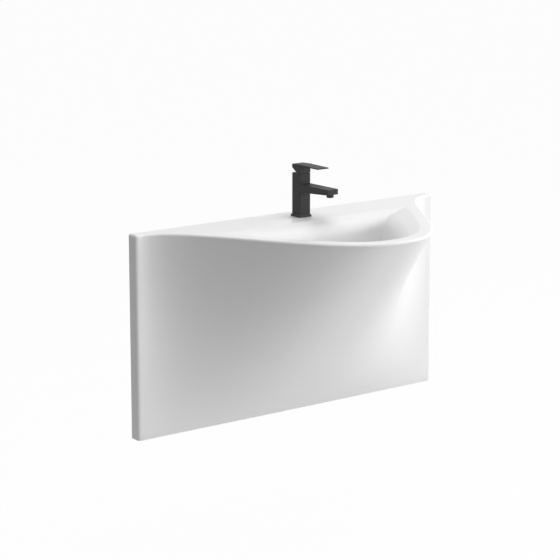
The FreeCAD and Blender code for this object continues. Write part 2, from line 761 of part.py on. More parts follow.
def make_trap():
    make_elbow()
    washer_top = tube_end - 0.05
    ring("elbow_washer", pipe_radius, waste_tube_radius - 1, elbow_top + 0.05, washer_top, drain_place)
    lip_top = elbow_top - 2.5 - seated
    nut_top = lip_top - union_nut_lip + union_nut_height
    nut = turned("elbow_nut", [
        (pipe_radius + seated * 2, lip_top - union_nut_lip), (union_nut_radius - 1.5, lip_top - union_nut_lip),
        (union_nut_radius, lip_top - union_nut_lip + 1.5), (union_nut_radius, nut_top),
        (waste_tube_radius + seated, nut_top), (waste_tube_radius + seated, lip_top),
        (pipe_radius + seated * 2, lip_top)], drain_place)
    ribs = new_sketch(nut, "XY_Plane", lip_top)
    for step in range(8):
        angle = math.radians(45 * step)
        add_circle(ribs, union_nut_radius * math.cos(angle), union_nut_radius * math.sin(angle), 1.6)
    pad(nut, ribs, union_nut_height - union_nut_lip - 1.5)
    make_trap_head()
    branch_fittings("inlet", inlet_level, branch_front, Rotation(Vector(1, 0, 0), 90))
    branch_fittings("outlet", outlet_level, branch_back, toward_wall)

    trap_low = head_top_level - trap_head_height
    cup_place = (0, -trap_from_wall, trap_low)
    shelf = -1.6
    cup_top = trap_cup_overlap
    cup_low = cup_top - trap_cup_height
    thread = trap_radius + seated
    inner = trap_radius - trap_wall
    turned("trap_cup", [
        (0, cup_low), (trap_cup_radius - 6, cup_low), (trap_cup_radius - 2, cup_low + 4),
        (trap_cup_radius, cup_low + 12), (trap_cup_radius, cup_top), (thread, cup_top),
        (thread, shelf), (inner, shelf), (inner, cup_low + trap_cup_floor + 3),
        (inner - 3, cup_low + trap_cup_floor), (0, cup_low + trap_cup_floor)], cup_place)
    ring("cup_seal", inner + 0.4, trap_radius - 0.2, shelf + 0.05, -0.05, cup_place)
    pipe_start = branch_back - trap_socket_depth + 1
    bead = branch_back + 8
    bore = pipe_radius - pipe_wall
    turned("outlet_pipe", [
        (bore, pipe_start), (pipe_radius, pipe_start), (pipe_radius, bead), (pipe_radius + 1.5, bead),
        (pipe_radius + 1.5, bead + 3), (pipe_radius, bead + 3), (pipe_radius, -outlet_pipe_gap),
        (bore, -outlet_pipe_gap)], (0, 0, outlet_level), toward_wall)


# --- tap ------------------------------------------------------------------------------------------

tap_place = (0, -tap_from_wall, deck_top)
half_column = column_width / 2
spout_tip = -half_column - spout_reach
aerator_y = spout_tip + aerator_from_tip


def square_sketch(body, width, offset):
    sketch = new_sketch(body, "XY_Plane", offset)
    add_rectangle(sketch, -width / 2, width / 2, -width / 2, width / 2)
    return sketch


def upright(edge):
    start, end = edge.Vertexes[0].Point, edge.Vertexes[-1].Point
    return abs(start.x - end.x) < 0.01 and abs(start.y - end.y) < 0.01 and abs(start.z - end.z) > 1


def make_tap_body():
    body = new_body("tap_body", tap_place)
    pad(body, square_sketch(body, column_width, loose), column_height - loose)
    pad(body, square_sketch(body, foot_width, loose), foot_height - loose)
    flare = body.newObject("PartDesign::AdditiveLoft", "tap_foot_flare")
    flare.Profile = square_sketch(body, foot_width, foot_height)
    flare.Sections = [square_sketch(body, column_width + 1, foot_height + foot_flare)]
    spout = new_sketch(body, "YZ_Plane")
    add_polygon(spout, [(-half_column + 2, spout_root_low), (-half_column + 2, spout_root_high),
                        (spout_tip, spout_tip_high), (spout_tip, spout_tip_low)])
    pad(body, spout, column_width, symmetric=True)
    round_edges(body, column_round,
                lambda edge: upright(edge) and edge.Length > foot_height.value)
    boss = new_sketch(body, "XY_Plane", aerator_seat)
    add_circle(boss, 0, aerator_y, aerator_radius)
    pad(body, boss, 3)

    bore = new_sketch(body, "XY_Plane", cartridge_floor)
    add_circle(bore, 0, 0, cartridge_bore_radius)
    pocket(body, bore, column_height, reverse=True)
    ports = new_sketch(body, "XY_Plane", 0)
    for side in (-1, 1):
        add_circle(ports, hose_spacing / 2 * side, -hose_port_forward, hose_port_radius)
    pocket(body, ports, hose_port_depth, reverse=True)
    passages = new_sketch(body, "XY_Plane", hose_port_depth - 0.5)
    port_circles(passages, inlet_passage_radius)
    pocket(body, passages, cartridge_floor - hose_port_depth + 1, reverse=True)
    stud = new_sketch(body, "XY_Plane", 0)
    add_circle(stud, 0, stud_back, stud_radius + seated)
    pocket(body, stud, stud_in_tap + 2, reverse=True)
    recess = new_sketch(body, "XY_Plane", 0)
    add_circle(recess, 0, 0, foot_width / 2 - 1.5)
    add_circle(recess, 0, 0, tap_hole_radius - 1)
    pocket(body, recess, 1.6, reverse=True)

    # mixed water rises in a chase before the cartridge, then runs along the spout to the aerator
    way_start = half_column - 4 - waterway_radius
    way_level = aerator_seat + aerator_socket_depth - 3
    chase = new_sketch(body, "XY_Plane", cartridge_floor)
    add_rectangle(chase, -outlet_chase_width / 2, outlet_chase_width / 2,
                  -cartridge_bore_radius - outlet_chase_depth, -way_start)
    pocket(body, chase, way_level - cartridge_floor, reverse=True)
    waterway = new_sketch(body, "XZ_Plane", way_start)
    add_circle(waterway, 0, way_level, waterway_radius)
    pocket(body, waterway, -aerator_y - way_start, reverse=True)
    socket = new_sketch(body, "XY_Plane", aerator_seat)
    add_circle(socket, 0, aerator_y, aerator_socket_radius + seated)
    pocket(body, socket, aerator_socket_depth, reverse=True)
    return body


def make_aerator():
    place = (0, -tap_from_wall + aerator_y, deck_top + aerator_seat)
    top = aerator_socket_depth - 1.4
    turned("aerator_housing", [
        (aerator_socket_radius - 1.2, -aerator_height), (aerator_radius - 0.6, -aerator_height),
        (aerator_radius, -aerator_height + 0.6), (aerator_radius, -running),
        (aerator_socket_radius, -running), (aerator_socket_radius, top),
        (aerator_socket_radius - 1.2, top)], place)
    ring("aerator_seal", aerator_socket_radius - 2.4, aerator_socket_radius - 0.2,
         top + 0.05, aerator_socket_depth - 0.05, place)
    insert = new_body("aerator_insert", place)
    core = new_sketch(insert, "XY_Plane", -aerator_height + 0.8)
    add_circle(core, 0, 0, aerator_socket_radius - 1.2 - running)
    pad(insert, core, aerator_height + 5)
    holes = new_sketch(insert, "XY_Plane", -aerator_height + 0.8)
    add_circle(holes, 0, 0, 1.0)
    for count, distance in ((6, 2.5), (12, 4.9)):
        for step in range(count):
            angle = 2 * math.pi * step / count
            add_circle(holes, distance * math.cos(angle), distance * math.sin(angle), 0.9)
    pocket(insert, holes, aerator_height + 6, reverse=True)


def make_tap_gasket():
    ring("tap_base_gasket", tap_hole_radius - 0.7, foot_width / 2 - 1.8, 0.0, 1.5, tap_place)


# --- cartridge and lever --------------------------------------------------------------------------

housing_low = cartridge_floor + cartridge_seal
fixed_disc_low = housing_low + cartridge_base
moving_disc_low = fixed_disc_low + disc_thickness + running
rotor_low = moving_disc_low + disc_thickness + seated
housing_top = housing_low + housing_height
housing_radius = cartridge_bore_radius - seated
housing_bore = housing_radius - housing_wall
rotor_radius = housing_bore - running
hub_low = column_height + lever_gap


def port_circles(sketch, radius):
    for side in (-1, 1):
        add_circle(sketch, hose_spacing / 2 * side * 0.7, -hose_port_forward * 0.8, radius)


def make_cartridge():
    # one shaped rubber seal goes round both inlets and leaves the outlet's side open
    seal = new_body("cartridge_seals", tap_place)
    outline = new_sketch(seal, "XY_Plane", cartridge_floor + 0.05)
    margin = inlet_passage_radius + 1.6
    inlet_x, inlet_y = hose_spacing / 2 * 0.7, hose_port_forward * 0.8
    add_rectangle(outline, -inlet_x - margin, inlet_x + margin, -inlet_y - margin, -inlet_y + margin)
    port_circles(outline, inlet_passage_radius + 0.2)
    pad(seal, outline, cartridge_seal - 0.1)
    housing = turned("cartridge_housing", [
        (0, housing_low), (housing_radius, housing_low), (housing_radius, housing_top),
        (housing_bore, housing_top), (housing_bore, fixed_disc_low), (0, fixed_disc_low)], tap_place)
    ports = new_sketch(housing, "XY_Plane", housing_low)
    port_circles(ports, inlet_passage_radius)
    add_circle(ports, 0, 5.5, 3.2)
    pocket(housing, ports, cartridge_base + 1, reverse=True)
    fixed = new_body("fixed_disc", tap_place)
    face = new_sketch(fixed, "XY_Plane", fixed_disc_low)
    add_circle(face, 0, 0, disc_radius)
    port_circles(face, 2.4)
    add_circle(face, 0, 5.5, 3)
    pad(fixed, face, disc_thickness)
    moving = new_body("moving_disc", tap_place)
    face = new_sketch(moving, "XY_Plane", moving_disc_low)
    add_circle(face, 0, 0, disc_radius - 1)
    pad(moving, face, disc_thickness)
    dish = new_sketch(moving, "XY_Plane", moving_disc_low)
    add_circle(dish, 0, 1, 5.5)
    pocket(moving, dish, disc_thickness / 2, reverse=True)

    rotor = new_body("cartridge_rotor", tap_place)
    barrel = new_sketch(rotor, "XY_Plane", rotor_low)
    add_circle(barrel, 0, 0, rotor_radius)
    pad(rotor, barrel, housing_top - rotor_low - 1)
    slot = new_sketch(rotor, "XY_Plane", pivot_height - stem_below_pivot - 1)
    half_slot = stem_width / 2 + running * 2
    add_rectangle(slot, -half_slot, half_slot, -rotor_radius + 1.3, rotor_radius - 1.3)
    pocket(rotor, slot, column_height, reverse=True)
    pin_hole = new_sketch(rotor, "YZ_Plane")
    add_circle(pin_hole, 0, pivot_height, pivot_pin_radius + seated / 2)
    pocket(rotor, pin_hole, rotor_radius * 3, symmetric=True)
    pin = new_body("pivot_pin", tap_place)
    shaft = new_sketch(pin, "YZ_Plane")
    add_circle(shaft, 0, pivot_height, pivot_pin_radius)
    pad(pin, shaft, rotor_radius * 2 - 2, symmetric=True)
    nut = ring("cartridge_nut", rotor_radius, cartridge_bore_radius - seated,
               housing_top, housing_top + ring_nut_height, tap_place)
    notches = new_sketch(nut, "XY_Plane", housing_top + ring_nut_height)
    add_rectangle(notches, -1.5, 1.5, -cartridge_bore_radius - 1, cartridge_bore_radius + 1)
    pocket(nut, notches, 2.5)


def make_lever():
    body = new_body("lever", tap_place)
    side = new_sketch(body, "YZ_Plane")
    tip = -half_column - lever_reach
    add_polygon(side, [
        (half_column, lever_rear_low), (half_column, lever_rear_high - 1),
        (half_column - 1, lever_rear_high), (half_column * 0.2, lever_crown - 0.9),
        (-half_column, lever_crown), (-half_column - lever_reach * 0.5, lever_crown - 0.6),
        (tip + 1, lever_tip_high), (tip, lever_tip_high - 1), (tip, lever_tip_low + 0.5),
        (tip + 1, lever_tip_low), (-half_column - lever_reach * 0.55, lever_tip_low - 0.3),
        (-half_column, lever_neck), (-half_column, hub_low), (-lever_notch, hub_low)])
    pad(body, side, column_width, symmetric=True)
    round_edges(body, column_round / 2, lambda edge: upright(edge) and edge.Length > 5)
    socket = new_sketch(body, "XY_Plane", hub_low - 1)
    half_stem = stem_width / 2 + running
    add_rectangle(socket, -half_stem, half_stem, -half_stem, half_stem)
    pocket(body, socket, stem_top - hub_low + 2, reverse=True)
    grub_level = hub_low + 8.5
    hole = new_sketch(body, "XZ_Plane")
    add_circle(hole, 0, grub_level, grub_radius + seated / 2)
    pocket(body, hole, half_column + 2)
    grub = new_body("lever_grub_screw", tap_place)
    shank = new_sketch(grub, "XZ_Plane", -half_stem - grub_length)
    add_circle(shank, 0, grub_level, grub_radius)
    add_hexagon_at(shank, 0, grub_level, 2.5)
    pad(grub, shank, grub_length)
    plug = new_sketch(grub, "XZ_Plane", -half_stem - 2)
    add_circle(plug, 0, grub_level, grub_radius - 0.4)
    pad(grub, plug, 2)


def add_hexagon_at(sketch, x, y, flats):
    corner = flats / math.sqrt(3)
    add_polygon(sketch, [(x + corner * math.cos(math.radians(60 * step)),
                          y + corner * math.sin(math.radians(60 * step))) for step in range(6)])


def make_stem():
    stem = new_body("lever_stem", tap_place)
    bar = square_sketch(stem, stem_width, pivot_height - stem_below_pivot)
    pad(stem, bar, stem_top - pivot_height + stem_below_pivot)
    hole = new_sketch(stem, "YZ_Plane")
    add_circle(hole, 0, pivot_height, pivot_pin_radius + running)
    pocket(stem, hole, stem_width * 2, symmetric=True)


# --- tap fixing under the ledge -------------------------------------------------------------------

clamp_high = -deck_thickness
rubber_low = clamp_high - clamp_rubber
plate_low = rubber_low - clamp_plate
stud_nut_low = plate_low - stud_nut_height


def horseshoe(label, low, high, radius, stud_hole):
    """A disc open to the front for the hoses, with a hole for the stud at its back."""
    body = new_body(label, tap_place)
    disc = new_sketch(body, "XY_Plane", low)
    add_circle(disc, 0, 0, radius)
    pad(body, disc, high - low)
    gap = new_sketch(body, "XY_Plane", low)
    add_rectangle(gap, -clamp_slot, clamp_slot, -radius - 1, 0)
    pocket(body, gap, high - low, reverse=True)
    hole = new_sketch(body, "XY_Plane", low)
    add_circle(hole, 0, stud_back, stud_hole)
    pocket(body, hole, high - low, reverse=True)


def make_tap_fixing():
    horseshoe("clamp_rubber_washer", rubber_low, clamp_high, clamp_radius, stud_radius + 0.5)
    horseshoe("clamp_plate", plate_low, rubber_low, clamp_radius - 1, stud_radius + 0.4)
    stud_place = (0, -tap_from_wall + stud_back, deck_top)
    turned("clamp_stud", [
        (0, stud_nut_low - stud_below_nut), (stud_radius - 0.6, stud_nut_low - stud_below_nut),
        (stud_radius, stud_nut_low - stud_below_nut + 0.6), (stud_radius, stud_in_tap),
        (0, stud_in_tap)], stud_place)
    hexagon("clamp_nut", stud_nut_flats, stud_radius + seated, stud_nut_low, plate_low, stud_place)


# --- the whole basin ------------------------------------------------------------------------------

make_basin_shell()
make_bracket("wall_bracket_left", -1)
make_bracket("wall_bracket_right", 1)
paired("bracket_pads", make_bracket_pad)
paired("deck_inserts", make_insert)
paired("bracket_washers", make_bracket_washer)
paired("bracket_screws", make_bracket_screw)
make_waste()
make_trap()
make_tap_body()
make_aerator()
make_tap_gasket()
make_cartridge()
make_stem()
make_lever()
make_tap_fixing()
doc.recompute()

pieces = [thing for thing in doc.Objects
          if thing.TypeId in ("PartDesign::Body", "Part::Feature")]
for thing in doc.Objects:
    if "Invalid" in thing.State or "Error" in thing.State:
        raise RuntimeError("%s is in a failed state: %s" % (thing.Label, thing.State))
for piece in pieces:
    if piece.Shape.isNull() or not piece.Shape.isValid() or not piece.Shape.Solids:
        raise RuntimeError("%s has no valid solid" % piece.Label)

os.makedirs("parts", exist_ok=True)
for piece in pieces:
    piece.Shape.exportStep("parts/%s.step" % piece.Label)
    print("%-24s solids %d volume %.1f" % (piece.Label, len(piece.Shape.Solids), piece.Shape.Volume))
print(len(pieces), "pieces")
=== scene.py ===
import json
import math

import bmesh
import bpy
from mathutils import Matrix, Vector


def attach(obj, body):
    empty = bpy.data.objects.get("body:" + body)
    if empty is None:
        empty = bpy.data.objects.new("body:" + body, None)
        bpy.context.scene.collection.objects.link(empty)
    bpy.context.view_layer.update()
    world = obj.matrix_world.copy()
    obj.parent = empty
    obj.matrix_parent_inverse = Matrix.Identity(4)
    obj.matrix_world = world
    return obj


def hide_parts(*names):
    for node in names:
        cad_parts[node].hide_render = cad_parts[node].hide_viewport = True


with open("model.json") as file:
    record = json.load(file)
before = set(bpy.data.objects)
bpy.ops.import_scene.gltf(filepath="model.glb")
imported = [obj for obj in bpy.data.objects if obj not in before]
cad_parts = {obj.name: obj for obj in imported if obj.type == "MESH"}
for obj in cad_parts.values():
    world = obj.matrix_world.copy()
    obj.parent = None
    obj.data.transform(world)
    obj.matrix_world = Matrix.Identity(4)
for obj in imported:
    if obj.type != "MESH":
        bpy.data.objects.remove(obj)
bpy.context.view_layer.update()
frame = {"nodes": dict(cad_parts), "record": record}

nodes = frame["nodes"]


# shader maths on sockets, so a mask reads as ordinary arithmetic
class Wire:
    def __init__(self, tree, socket):
        self.tree = tree
        self.socket = socket

    def maths(self, operation, first, second):
        node = self.tree.nodes.new("ShaderNodeMath")
        node.operation = operation
        for slot, value in zip(node.inputs, (first, second)):
            if isinstance(value, Wire):
                self.tree.links.new(value.socket, slot)
            else:
                slot.default_value = value
        return Wire(self.tree, node.outputs[0])

    def __add__(self, other):
        return self.maths("ADD", self, other)

    def __radd__(self, other):
        return self.maths("ADD", other, self)

    def __sub__(self, other):
        return self.maths("SUBTRACT", self, other)

    def __rsub__(self, other):
        return self.maths("SUBTRACT", other, self)

    def __mul__(self, other):
        return self.maths("MULTIPLY", self, other)

    def __rmul__(self, other):
        return self.maths("MULTIPLY", other, self)


# the node tree of one material or of the world, emptied and filled by node()
class Finish:
    def __init__(self, owner, ending="OutputMaterial"):
        owner.use_nodes = True
        self.owner = owner
        self.ending = ending
        self.tree = owner.node_tree
        self.tree.nodes.clear()

    def node(self, kind, inputs=None, output=0, **settings):
        made = self.tree.nodes.new("ShaderNode" + kind)
        for setting, value in settings.items():
            setattr(made, setting, value)
        for name, value in (inputs or {}).items():
            if isinstance(value, Wire):
                self.tree.links.new(value.socket, made.inputs[name])
            else:
                made.inputs[name].default_value = value
        return Wire(self.tree, made.outputs[output])

    def place(self):
        return self.node("TexCoord", output="Object")

    def noise(self, scale, detail=3, roughness=0.5, vector=None):
        return self.node("TexNoise", {"Vector": vector or self.place(), "Scale": scale,
                                      "Detail": detail, "Roughness": roughness})

    def blendColours(self, mask, first, second):
        return self.node("Mix", {0: mask, 6: (*first, 1), 7: (*second, 1)}, output=2,
                         data_type="RGBA")

    def bump(self, height, strength, distance):
        return self.node("Bump", {"Height": height, "Strength": strength, "Distance": distance})

    def close(self, surface):
        end = self.tree.nodes.new("ShaderNode" + self.ending)
        self.tree.links.new(surface.socket, end.inputs["Surface"])
        return self.owner


def newFinish(name):
    return Finish(bpy.data.materials.new(name))


# white cast stone with a satin skin
stoneFinish = {
    "light": (0.865, 0.865, 0.862),
    "dark": (0.845, 0.846, 0.846),
    "ior": 1.47,
    "roughness": 0.36,
    "roughnessSpread": 0.06,
    "cloudScale": 5.0,
    "grainScale": 900.0,
    "grainShare": 0.02,
    "waveScale": 14.0,
    "waveHeight": 0.00012,
    "bumpStrength": 0.25,
}


def makeStone():
    look = stoneFinish
    finish = newFinish("castStone")
    clouds = finish.noise(look["cloudScale"], 4)
    grain = finish.noise(look["grainScale"], 2)
    waves = finish.noise(look["waveScale"], 2)
    colour = finish.blendColours(clouds, look["light"], look["dark"])
    bump = finish.bump(waves + grain * look["grainShare"], look["bumpStrength"], look["waveHeight"])
    surface = finish.node("BsdfPrincipled", {
        "Base Color": colour, "Normal": bump, "IOR": look["ior"],
        "Roughness": look["roughness"] + (clouds - 0.5) * look["roughnessSpread"]})
    return finish.close(surface)


# satin black coat on the tap and the waste
blackFinish = {
    "body": (0.021, 0.021, 0.0215),
    "worn": (0.028, 0.028, 0.0285),
    "roughness": 0.56,
    "roughnessSpread": 0.1,
    "shine": 0.3,
    "cloudScale": 30.0,
    "grainScale": 1400.0,
    "grainHeight": 0.00004,
    "bumpStrength": 0.35,
}


def makeBlack():
    look = blackFinish
    finish = newFinish("satinBlack")
    clouds = finish.noise(look["cloudScale"], 3)
    grain = finish.noise(look["grainScale"], 2)
    colour = finish.blendColours(clouds, look["body"], look["worn"])
    bump = finish.bump(grain, look["bumpStrength"], look["grainHeight"])
    surface = finish.node("BsdfPrincipled", {
        "Base Color": colour, "Normal": bump, "Specular IOR Level": look["shine"],
        "Roughness": look["roughness"] + (clouds - 0.5) * look["roughnessSpread"]})
    return finish.close(surface)


metalFinishes = {
    "bright_steel": {"light": (0.60, 0.61, 0.62), "dark": (0.48, 0.49, 0.51), "roughness": 0.34,
                     "scale": 60.0, "stretch": (1, 1, 12)},
    "bare_brass": {"light": (0.80, 0.62, 0.30), "dark": (0.62, 0.45, 0.20), "roughness": 0.30,
                   "scale": 80.0, "stretch": (1, 1, 14)},
}
metalStreaks = {"height": 0.00005, "bumpStrength": 0.2, "roughnessSpread": 0.15}


def makeMetal(name):
    look = metalFinishes[name]
    finish = newFinish(name)
    streaked = finish.node("Mapping", {"Vector": finish.place(), "Scale": look["stretch"]})
    streaks = finish.noise(look["scale"], 4, 0.6, streaked)
    colour = finish.blendColours(streaks, look["light"], look["dark"])
    bump = finish.bump(streaks, metalStreaks["bumpStrength"], metalStreaks["height"])
    surface = finish.node("BsdfPrincipled", {
        "Base Color": colour, "Metallic": 1.0, "Normal": bump,
        "Roughness": look["roughness"] + (streaks - 0.5) * metalStreaks["roughnessSpread"]})
    return finish.close(surface)


mouldedFinishes = {
    "black_rubber": {"light": (0.035, 0.035, 0.036), "dark": (0.022, 0.022, 0.023), "roughness": 0.75,
                     "scale": 350.0, "height": 0.00008},
    "white_plastic": {"light": (0.80, 0.80, 0.79), "dark": (0.76, 0.76, 0.75), "roughness": 0.42,
                      "scale": 220.0, "height": 0.00004},
    "grey_plastic": {"light": (0.42, 0.43, 0.45), "dark": (0.37, 0.38, 0.40), "roughness": 0.45,
                     "scale": 260.0, "height": 0.00004},
    "disc_ceramic": {"light": (0.82, 0.82, 0.80), "dark": (0.78, 0.78, 0.76), "roughness": 0.15,
                     "scale": 180.0, "height": 0.00001},
}
mouldedGrain = {"cloudShare": 0.08, "bumpStrength": 0.3, "roughnessSpread": 0.1}


def makeMoulded(name):
    look = mouldedFinishes[name]
    finish = newFinish(name)
    grain = finish.noise(look["scale"], 3)
    clouds = finish.noise(look["scale"] * mouldedGrain["cloudShare"], 3)
    colour = finish.blendColours(clouds, look["light"], look["dark"])
    bump = finish.bump(grain, mouldedGrain["bumpStrength"], look["height"])
    surface = finish.node("BsdfPrincipled", {
        "Base Color": colour, "Normal": bump,
        "Roughness": look["roughness"] + (clouds - 0.5) * mouldedGrain["roughnessSpread"]})
    return finish.close(surface)


finishes = {"shell_stone": makeStone(), "black_metal": makeBlack()}
finishes.update({name: makeMetal(name) for name in metalFinishes})
finishes.update({name: makeMoulded(name) for name in mouldedFinishes})

for entry in frame["record"]["subparts"]:
    cadObject = nodes[entry["node"]]
    cadObject.data.materials.clear()
    cadObject.data.materials.append(finishes[entry["material_slot"]])
print("finishes given to", len(nodes), "nodes")


# the shell is grown from the bowl's drain outwards, in closed rings of equal count
# metres, in the frame's own axes; the wall is y = 0 and the room is on the -y side
basinForm = {
    "halfWidth": 0.500,
    "top": 0.085,
    "bottom": -0.461,
    "endDepth": 0.032,
    "reach": 0.4618,
    "halfBell": 0.483,
    "bellPower": 1.23,
    "endRound": 0.008,
    "rimRound": 0.006,
    "rimWidth": 0.037,
    "ledge": 0.135,
    "deckUnder": 0.063,
    "apronWall": 0.013,
    "endWall": 0.015,
    "footRound": 0.0025,
    "backRound": 0.003,
    "support": 0.001,          # narrow rings beside the roundings, so that flat faces shade flat
    "tapHole": (0.0, -0.072, 0.0175),
    "insertHoles": (0.340, -0.038, 0.0061),
    "insertDepth": 0.0161,
}
bowlForm = {
    "depth": 0.115,
    "wall": 0.012,
    "backDrop": 0.045,
    "foldDepth": 0.012,
    "cornerDraw": 0.100,
    "cornerFold": 0.008,
    "cornerDrift": 0.35,
    "frontDraft": 1.1,
    "floorRound": 0.018,
    "creaseRound": 0.006,
    "backEase": 0.10,          # how far the back's columns draw towards its corners
    "wallSteps": (0.0012, 0.005, 0.11),   # shortest, longest, share of the level
    "drain": (0.0, -0.250),
    "drainHole": 0.0215,
    "drainRecess": 0.034,
    "recessDepth": 0.0035,
    "recessChamfer": 0.0006,
}
ringCounts = {"front": 120, "ear": 30, "corner": 6, "side": 4, "back": 60}
stepCounts = {"floorRoll": 10, "crease": 11, "rimRoll": 12, "skirt": 26, "foot": 4,
              "underRoll": 8, "underWall": 16}
holeCounts = {"tap": 48, "insert": 32}
mergeDistance = 0.00002


def bellShare(x):
    share = min(abs(x) / basinForm["halfBell"], 1)
    return (1 + math.cos(math.pi * share ** basinForm["bellPower"])) / 2


def rimDepth(x):
    return basinForm["endDepth"] + basinForm["reach"] * bellShare(x)


def rimSlope(x):
    step = 0.0005
    return (rimDepth(x + step) - rimDepth(x - step)) / (2 * step)


# the rim's outer edge moved inwards by distance, square to itself, as (x, depth)
def innerRim(x, distance):
    slope = rimSlope(x)
    stretch = math.sqrt(1 + slope ** 2)
    return x + distance * slope / stretch, rimDepth(x) - distance / stretch


# where the rim's inner edge comes back to the ledge
def findBowlCorner():
    low, high = 0.0, basinForm["halfBell"]
    for halving in range(60):
        middle = (low + high) / 2
        if innerRim(middle, basinForm["rimWidth"])[1] > basinForm["ledge"]:
            low = middle
        else:
            high = middle
    return low


def spread(low, high, count, ends=True):
    steps = count - 1 if ends else count
    return [low + (high - low) * index / steps for index in range(count)]


cornerSource = findBowlCorner()


# the outer top edge as (x, y, outward x, outward y), counter-clockwise seen from above
def outerPath():
    form, counts = basinForm, ringCounts
    half, radius, depth = form["halfWidth"], form["endRound"], form["endDepth"]
    xs = spread(-cornerSource, cornerSource, counts["front"], False)
    xs += spread(cornerSource, half - radius, counts["ear"], False)
    path = []
    for x in xs:
        slope = rimSlope(x)
        length = math.hypot(slope, 1)
        path.append((x, -rimDepth(x), -slope / length, -1 / length))
    for angle in spread(-math.pi / 2, 0, counts["corner"]):
        outX, outY = math.cos(angle), math.sin(angle)
        path.append((half - radius + radius * outX, -depth + radius + radius * outY, outX, outY))
    for y in spread(-depth + radius, 0, counts["side"])[1:]:
        path.append((half, y, 1.0, 0.0))
    mirrored = [(-x, y, -nx, ny) for x, y, nx, ny in path if x > cornerSource + 1e-9]
    backEnd = half - form["rimRound"]
    back = [(x, 0.0, 0.0, 1.0) for x in spread(backEnd, -backEnd, counts["back"])]
    return path + back + mirrored[::-1]


outer = outerPath()
ringCount = len(outer)
frontCount = ringCounts["front"]
print("ring of", ringCount)


# the bowl's D-shaped ring at the top, column by column, as (x, depth)
def bowlPath():
    rim = [innerRim(x, basinForm["rimWidth"]) for x, y, nx, ny in outer[:frontCount + 1]]
    backCount = ringCount - frontCount
    cornerX = rim[-1][0]
    back = []
    for index in range(1, backCount):
        share = index / backCount
        eased = share + bowlForm["backEase"] * math.sin(2 * math.pi * share) / (2 * math.pi)
        back.append((cornerX - 2 * cornerX * eased, basinForm["ledge"]))
    return rim + back


bowlTop = bowlPath()
bowlCornerX = bowlTop[frontCount][0]
apexDepth = max(depth for x, depth in bowlTop)


# one level ring of the bowl, level metres under the rim
def bowlRing(level, grow=0.0):
    form = bowlForm
    fold = 1 - math.exp(-level / form["foldDepth"])
    radius = form["floorRound"]
    over = max(level - (form["depth"] - radius), 0)
    roll = radius - math.sqrt(max(radius ** 2 - over ** 2, 0))
    cornerFold = 1 - math.exp(-level / form["cornerFold"])
    corner = bowlCornerX - form["cornerDraw"] * cornerFold - form["cornerDrift"] * level - roll + grow
    back = basinForm["ledge"] + form["backDrop"] * fold + roll - grow
    front = apexDepth - form["frontDraft"] * level - roll + grow
    scale = (front - back) / (apexDepth - basinForm["ledge"])
    return [(x * corner / bowlCornerX, -(back + (depth - basinForm["ledge"]) * scale))
            for x, depth in bowlTop]


# a circle round the drain, its points on the bowl's own columns
def drainRing(radius):
    floor = bowlRing(bowlForm["depth"])
    cx, cy = bowlForm["drain"]
    ring = []
    for x, y in floor:
        angle = math.atan2(y - cy, x - cx)
        ring.append((cx + radius * math.cos(angle), cy + radius * math.sin(angle)))
    return ring


def mixRings(first, second, share):
    return [(ax + (bx - ax) * share, ay + (by - ay) * share)
            for (ax, ay), (bx, by) in zip(first, second)]


# a shell built by pulling rings of edges; every vertex carries its column number
class RingShell:
    def __init__(self):
        self.mesh = bmesh.new()
        self.column = self.mesh.verts.layers.int.new("column")
        self.edges = []

    def start(self, ring):
        made = bmesh.ops.create_circle(self.mesh, cap_ends=False, radius=1, segments=len(ring))
        for index, vertex in enumerate(made["verts"]):
            vertex[self.column] = index
            vertex.co = ring[index]
        around = [edge for vertex in made["verts"] for edge in vertex.link_edges]
        self.edges = list(dict.fromkeys(around))   # each edge once, always in the same order

    def pull(self, ring):
        made = bmesh.ops.extrude_edge_only(self.mesh, edges=self.edges)["geom"]
        for vertex in (item for item in made if isinstance(item, bmesh.types.BMVert)):
            vertex.co = ring[vertex[self.column]]
        self.edges = [item for item in made if isinstance(item, bmesh.types.BMEdge)]

    def keepColumns(self, columns):
        self.edges = [edge for edge in self.edges
                      if all(vertex[self.column] in columns for vertex in edge.verts)]

    # closes what is still open on one level plane, round any holes in it
    def fillPlane(self, axis, place):
        border = [edge for edge in self.mesh.edges if edge.is_boundary
                  and all(abs(vertex.co[axis] - place) < mergeDistance for vertex in edge.verts)]
        normal = Vector((0, 0, 0))
        normal[axis] = 1
        made = bmesh.ops.triangle_fill(self.mesh, use_beauty=True, use_dissolve=False,
                                       edges=border, normal=normal)["geom"]
        return sum(1 for item in made if isinstance(item, bmesh.types.BMFace))


def atHeight(ring, z):
    return [Vector((x, y, z)) for x, y in ring]


insideHalf = basinForm["halfWidth"] - basinForm["endWall"]


# where the face of the apron under one place of the rim's rounding is, at height z
def outsidePlace(place, z):
    form = basinForm
    rise = (z - form["bottom"]) / (place.z - form["bottom"])
    y = place.y
    if y < -form["endDepth"]:
        y = -(form["endDepth"] + (-y - form["endDepth"]) * rise)
    return Vector((place.x, y, z))


# the same place on the inner face of the apron or of the end walls
def insidePlace(place, z):
    form = basinForm
    x = max(-insideHalf, min(insideHalf, place.x))
    face = outsidePlace(place, z)
    lean = (-place.y - form["endDepth"]) / (place.z - form["bottom"])
    rise = (z - form["bottom"]) / (place.z - form["bottom"])
    stretch = math.sqrt(1 + (rimSlope(x) * rise) ** 2 + max(lean, 0) ** 2)
    depth = -face.y - form["apronWall"] * stretch
    if -place.y < form["endDepth"]:
        depth = min(-place.y, form["endDepth"] - form["apronWall"])
    return Vector((x, -max(depth, 0), z))


# a quarter round from the outer face (angle 0) to the flat foot (angle 90)
def footPlace(first, second, angle):
    foot = basinForm["footRound"]
    along = (second - first).normalized()
    return first + along * (foot * (1 - math.cos(angle))) - Vector((0, 0, foot * math.sin(angle)))


